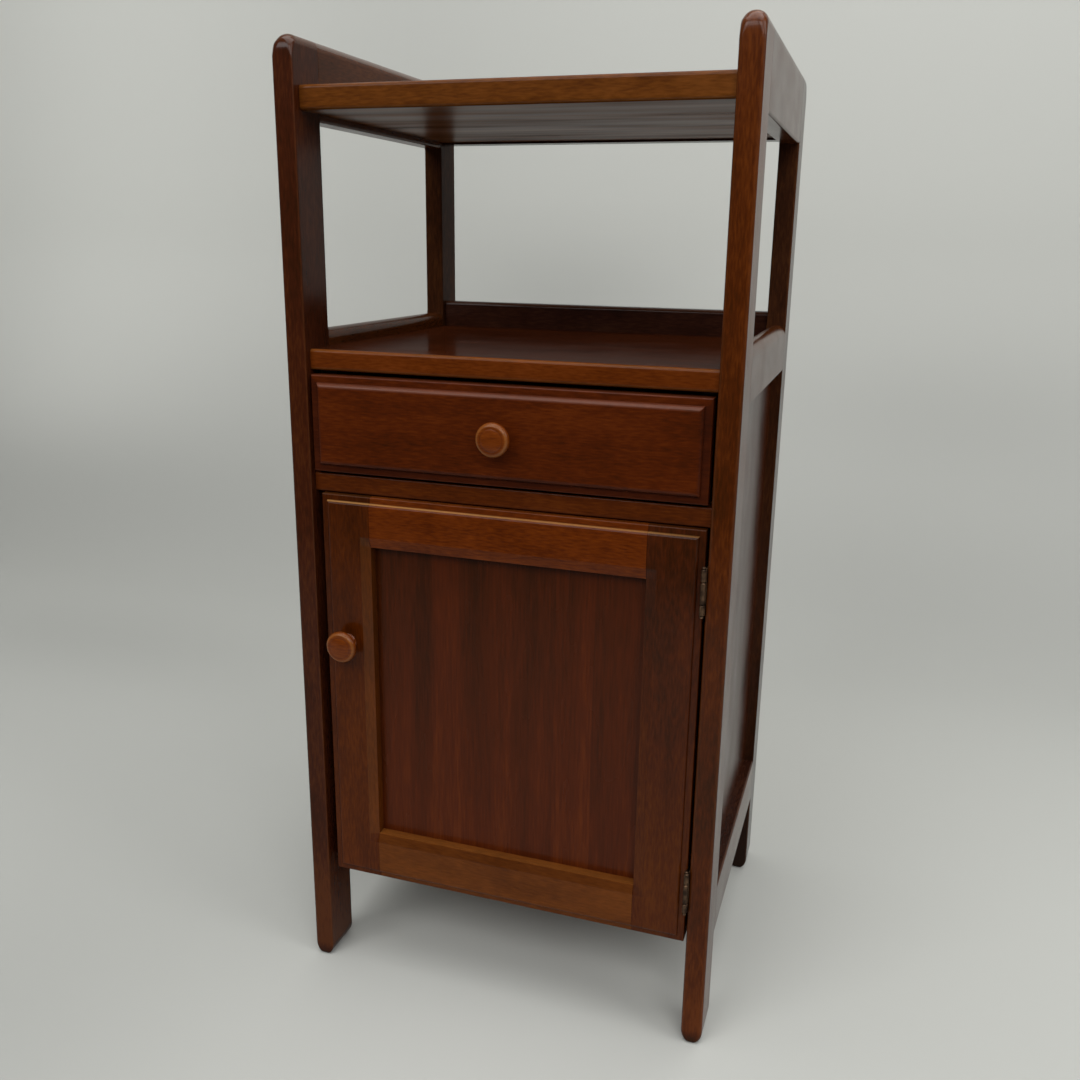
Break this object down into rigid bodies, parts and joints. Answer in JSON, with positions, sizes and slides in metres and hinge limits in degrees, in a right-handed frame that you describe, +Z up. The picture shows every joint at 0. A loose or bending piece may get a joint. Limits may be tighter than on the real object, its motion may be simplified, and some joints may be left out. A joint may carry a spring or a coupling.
{
  "type": "telephone stand",
  "caption": "Narrow stained wood stand with an open bay between shelves, a drawer and a hinged cupboard door.",
  "frame": {"origin": "middle of the overall width and of the overall depth, knobs included, on the floor under the feet", "axes": "+Z up, +X to the right as seen from the front, -Y towards the front with the drawer and the door"},
  "size_m": [0.38, 0.338, 0.829],
  "materials": {
    "post_wood": "dark red-brown stain under satin lacquer",
    "rail_wood": "dark red-brown stain under satin lacquer",
    "shelf_wood": "red-brown stain under satin lacquer, a little lighter",
    "panel_wood": "brown-red stain under satin lacquer, straight grain",
    "drawer_wood": "dark red-brown stain under satin lacquer",
    "knob_wood": "turned wood, orange-brown, satin lacquer",
    "plain_wood": "planed softwood, unfinished",
    "plywood": "thin plywood, unfinished",
    "brass": "aged brass",
    "steel": "plain steel",
    "catch_plastic": "brown moulded plastic"
  },
  "bodies": {
    "stand": {"left_front_post": "post_wood", "left_rear_post": "post_wood", "left_top_rail": "rail_wood", "left_middle_rail": "rail_wood", "left_bottom_rail": "rail_wood", "left_side_panel": "panel_wood", "left_drawer_runner": "plain_wood", "left_drawer_kicker": "plain_wood", "right_front_post": "post_wood", "right_rear_post": "post_wood", "right_top_rail": "rail_wood", "right_middle_rail": "rail_wood", "right_bottom_rail": "rail_wood", "right_side_panel": "panel_wood", "right_drawer_runner": "plain_wood", "right_drawer_kicker": "plain_wood", "top_shelf": "shelf_wood", "middle_shelf": "shelf_wood", "drawer_divider": "rail_wood", "back_top_rail": "rail_wood", "back_middle_rail": "rail_wood", "back_bottom_rail": "rail_wood", "bottom_board": "panel_wood", "back_panel": "plywood", "catch_body": "catch_plastic", "upper_hinge_frame_leaf": "brass", "upper_hinge_pin": "brass", "upper_hinge_frame_screw_1": "brass", "upper_hinge_frame_screw_2": "brass", "lower_hinge_frame_leaf": "brass", "lower_hinge_pin": "brass", "lower_hinge_frame_screw_1": "brass", "lower_hinge_frame_screw_2": "brass"},
    "drawer": {"drawer_front": "drawer_wood", "drawer_left_wall": "plain_wood", "drawer_right_wall": "plain_wood", "drawer_back_wall": "plain_wood", "drawer_bottom": "plywood", "drawer_knob": "knob_wood", "drawer_knob_screw": "steel"},
    "door": {"door_left_stile": "panel_wood", "door_right_stile": "panel_wood", "door_top_rail": "panel_wood", "door_bottom_rail": "panel_wood", "door_panel": "panel_wood", "door_knob": "knob_wood", "door_knob_screw": "steel", "catch_strike": "steel", "upper_hinge_door_leaf": "brass", "upper_hinge_door_screw_1": "brass", "upper_hinge_door_screw_2": "brass", "lower_hinge_door_leaf": "brass", "lower_hinge_door_screw_1": "brass", "lower_hinge_door_screw_2": "brass"}
  },
  "joints": [
    {"name": "drawer_slide", "type": "slide", "parent": "stand", "child": "drawer", "axis": [0, -1, 0], "range_m": [0, 0.19]},
    {"name": "door_hinge", "type": "hinge", "parent": "stand", "child": "door", "pos_m": [0.1693, -0.1522, 0.282], "axis": [0, 0, 1], "range_deg": [0, 170]}
  ]
}
